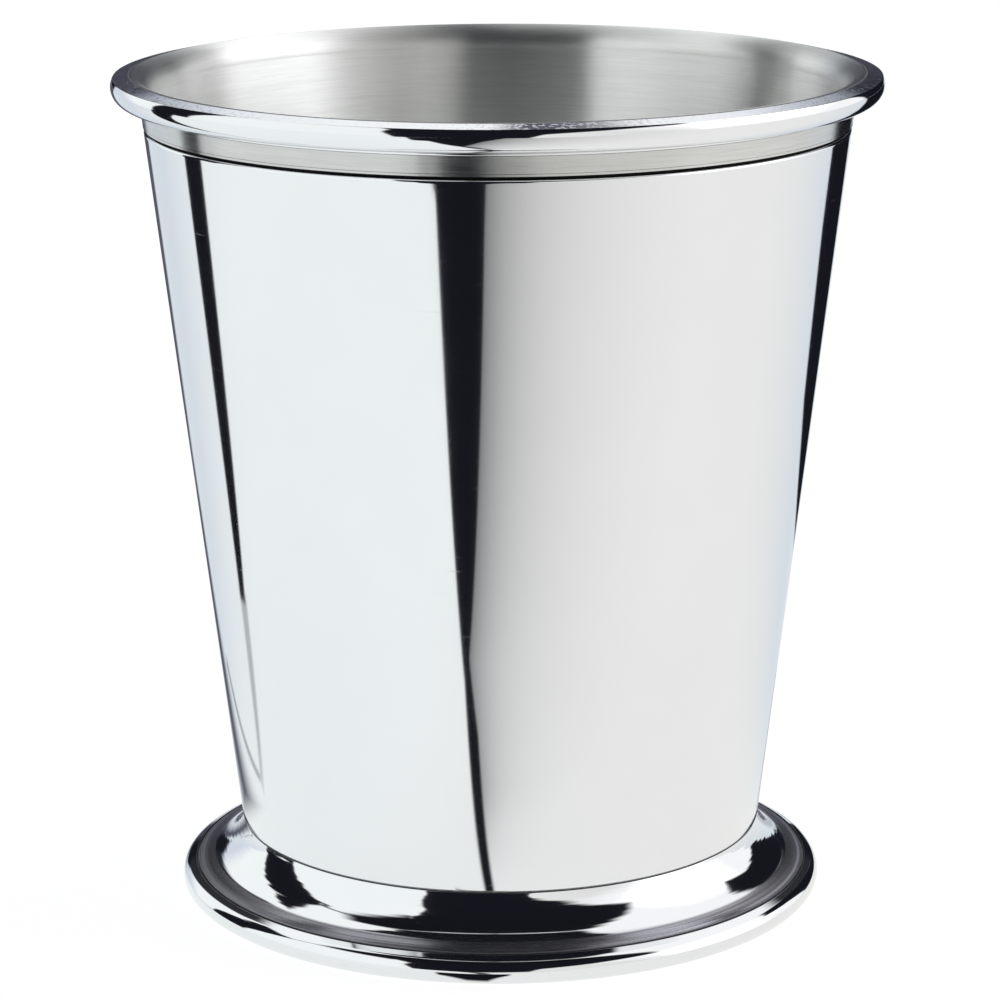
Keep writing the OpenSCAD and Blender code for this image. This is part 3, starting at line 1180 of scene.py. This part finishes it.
def table_material():
    """The white table, with black cards that are seen only in reflections, and with the cup's shadow."""
    studio = bpy.context.scene.julep_studio
    material = bpy.data.materials.new("white_table")
    graph = fresh_graph(material)
    x, y, _ = graph.parts(graph.place())
    white = graph.blend(x.ramp(*TABLE_SIDE_FADE), studio.cool_white, studio.warm_white)
    slope = y / (x.maths("ABSOLUTE") + 1.0)
    white = graph.blend(slope.ramp(*TABLE_BACK_FADE), white, studio.back_white)
    black = (0.0, 0.0, 0.0)
    white = graph.blend(penumbra(x, y), white, black)
    seen = graph.blend(any_card(graph, x, y, TABLE_SHADES), white, studio.ceiling_shade)
    seen = graph.blend(any_card(graph, x, y, TABLE_CARDS), seen, studio.black_card)
    camera = graph.add("ShaderNodeLightPath", None, None, "Is Camera Ray")
    shown = graph.blend(camera, seen, (1.0, 1.0, 1.0))
    share = studio.shadow_share
    lit = graph.add("ShaderNodeBsdfDiffuse", None, {"Color": graph.blend(share, black, shown)})
    own = graph.add("ShaderNodeEmission", None, {"Color": shown, "Strength": 1 - share * studio.open_light})
    both = graph.add("ShaderNodeAddShader", None, {0: own, 1: lit})
    graph.node("ShaderNodeOutputMaterial", None, {"Surface": both})
    return material


def build_table():
    """The flat table under the cup."""
    half = TABLE_HALF
    mesh = bpy.data.meshes.new("table")
    corners = [(-half, -half, 0.0), (half, -half, 0.0), (half, half, 0.0), (-half, half, 0.0)]
    mesh.from_pydata(corners, [], [(0, 1, 2, 3)])
    mesh.materials.append(table_material())
    table = bpy.data.objects.new("table", mesh)
    bpy.context.scene.collection.objects.link(table)


def build_camera():
    """The camera at the viewing angle of the photograph."""
    data = bpy.data.cameras.new("camera")
    data.lens = CAMERA_LENS
    data.sensor_width = CAMERA_SENSOR
    data.sensor_fit = "HORIZONTAL"
    yaw, pitch, roll = (math.radians(angle) for angle in CAMERA_TURNS)
    ahead = Vector((math.sin(yaw) * math.cos(pitch), math.cos(yaw) * math.cos(pitch), -math.sin(pitch)))
    right = ahead.cross(Vector((0, 0, 1))).normalized()
    up = right.cross(ahead)
    level_right = right * math.cos(roll) + up * math.sin(roll)
    level_up = up * math.cos(roll) - right * math.sin(roll)
    rotation = Matrix((level_right, level_up, -ahead)).transposed()
    camera = bpy.data.objects.new("camera", data)
    camera.matrix_world = Matrix.Translation(CAMERA_PLACE) @ rotation.to_4x4()
    bpy.context.scene.collection.objects.link(camera)
    bpy.context.scene.camera = camera


# Operators


class JULEP_OT_body(bpy.types.Operator):
    """Spins the tapered beaker"""

    bl_idname = "julep.body"
    bl_label = "Beaker Body"

    def execute(self, context):
        shape = Shape()
        outside = polished_pewter("polished_wall", shape)
        inside = satin_pewter("satin_inside", shape)
        piece = turn("beaker_body", shape.body(), outside, inside, closed=False)
        finish_piece(piece, "body_shell")
        return {"FINISHED"}


class JULEP_OT_rim_bead(bpy.types.Operator):
    """Turns the bead round the lip"""

    bl_idname = "julep.rim_bead"
    bl_label = "Rim Bead"

    def execute(self, context):
        shape = Shape()
        metal = polished_pewter("polished_rim", shape, tool_marks=BEAD_MARK, land_nicks=True)
        piece = turn("lip_bead", shape.rim_bead(), metal, metal)
        finish_piece(piece, "rim_bead")
        return {"FINISHED"}


class JULEP_OT_collar(bpy.types.Operator):
    """Turns the satin collar band"""

    bl_idname = "julep.collar"
    bl_label = "Collar Band"

    def execute(self, context):
        shape = Shape()
        outside = polished_pewter("polished_fillet", shape)
        # The collar's satin is a darker copy of the inside's, at 0.68 of its colour: painted shade for the
        # dimmer light the band reflects
        inside = satin_pewter("satin_collar", shape, duller=-0.10, shaded_tone=0.68)
        piece = turn("satin_collar_band", shape.collar(), outside, inside)
        finish_piece(piece, "collar_band")
        return {"FINISHED"}


class JULEP_OT_foot(bpy.types.Operator):
    """Spins the hollow foot"""

    bl_idname = "julep.foot"
    bl_label = "Foot"

    def execute(self, context):
        shape = Shape()
        outside = polished_pewter("polished_cove", shape, tool_marks=COVE_MARK, dull_brim_and_sheen=True)
        inside = satin_pewter("satin_underside", shape)
        piece = turn("spun_foot", shape.foot(), outside, inside)
        finish_piece(piece, "foot_ring")
        return {"FINISHED"}


class JULEP_OT_foot_bead(bpy.types.Operator):
    """Turns the bead round the edge of the foot"""

    bl_idname = "julep.foot_bead"
    bl_label = "Foot Bead"

    def execute(self, context):
        shape = Shape()
        metal = polished_pewter("polished_foot_edge", shape, tool_marks=BEAD_MARK)
        piece = turn("foot_edge_bead", shape.foot_bead(), metal, metal)
        finish_piece(piece, "foot_bead")
        return {"FINISHED"}


class JULEP_OT_solder(bpy.types.Operator):
    """Fills the four soldered joints"""

    bl_idname = "julep.solder"
    bl_label = "Solder"

    def execute(self, context):
        shape = Shape()
        metal = pewter_solder("solder")
        films = (
            ("lip_solder_film", "rim_bead_solder", shape.rim_solder()),
            ("collar_solder_film", "collar_solder", shape.collar_solder()),
            ("floor_solder_ring", "foot_solder", shape.foot_solder()),
            ("foot_edge_solder_film", "foot_bead_solder", shape.foot_bead_solder()),
        )
        for name, node, points in films:
            piece = turn(name, points, metal, metal)
            finish_piece(piece, node)
        return {"FINISHED"}


class JULEP_OT_studio(bpy.types.Operator):
    """Sets up the table, the studio and the camera"""

    bl_idname = "julep.studio"
    bl_label = "Studio"

    def execute(self, context):
        build_table()
        build_world()
        build_camera()
        context.scene.view_settings.view_transform = "Standard"
        return {"FINISHED"}


class JULEP_PT_panel(bpy.types.Panel):
    """Lists the steps that build the cup, and its settings"""

    bl_label = "Julep Cup"
    bl_idname = "JULEP_PT_panel"
    bl_space_type = "VIEW_3D"
    bl_region_type = "UI"
    bl_category = "Julep Cup"

    def draw(self, context):
        for operator in OPERATORS:
            self.layout.operator(operator.bl_idname)
        scene = context.scene
        for settings in (scene.julep_sizes, scene.julep_finishes, scene.julep_studio):
            box = self.layout.box()
            for name in settings.bl_rna.properties.keys():
                if name not in {"rna_type", "name"}:
                    box.prop(settings, name)


OPERATORS = (
    JULEP_OT_studio,
    JULEP_OT_body,
    JULEP_OT_rim_bead,
    JULEP_OT_collar,
    JULEP_OT_foot,
    JULEP_OT_foot_bead,
    JULEP_OT_solder,
)
SETTINGS = (JulepCupSizes, JulepCupFinishes, JulepCupStudio)


def register():
    for cls in (*SETTINGS, *OPERATORS, JULEP_PT_panel):
        bpy.utils.register_class(cls)
    bpy.types.Scene.julep_sizes = PointerProperty(type=JulepCupSizes)
    bpy.types.Scene.julep_finishes = PointerProperty(type=JulepCupFinishes)
    bpy.types.Scene.julep_studio = PointerProperty(type=JulepCupStudio)


def unregister():
    del bpy.types.Scene.julep_studio
    del bpy.types.Scene.julep_finishes
    del bpy.types.Scene.julep_sizes
    for cls in reversed((*SETTINGS, *OPERATORS, JULEP_PT_panel)):
        bpy.utils.unregister_class(cls)


def main():
    register()
    bpy.ops.julep.studio()
    bpy.ops.julep.body()
    bpy.ops.julep.rim_bead()
    bpy.ops.julep.collar()
    bpy.ops.julep.foot()
    bpy.ops.julep.foot_bead()
    bpy.ops.julep.solder()


if __name__ == "__main__":
    main()
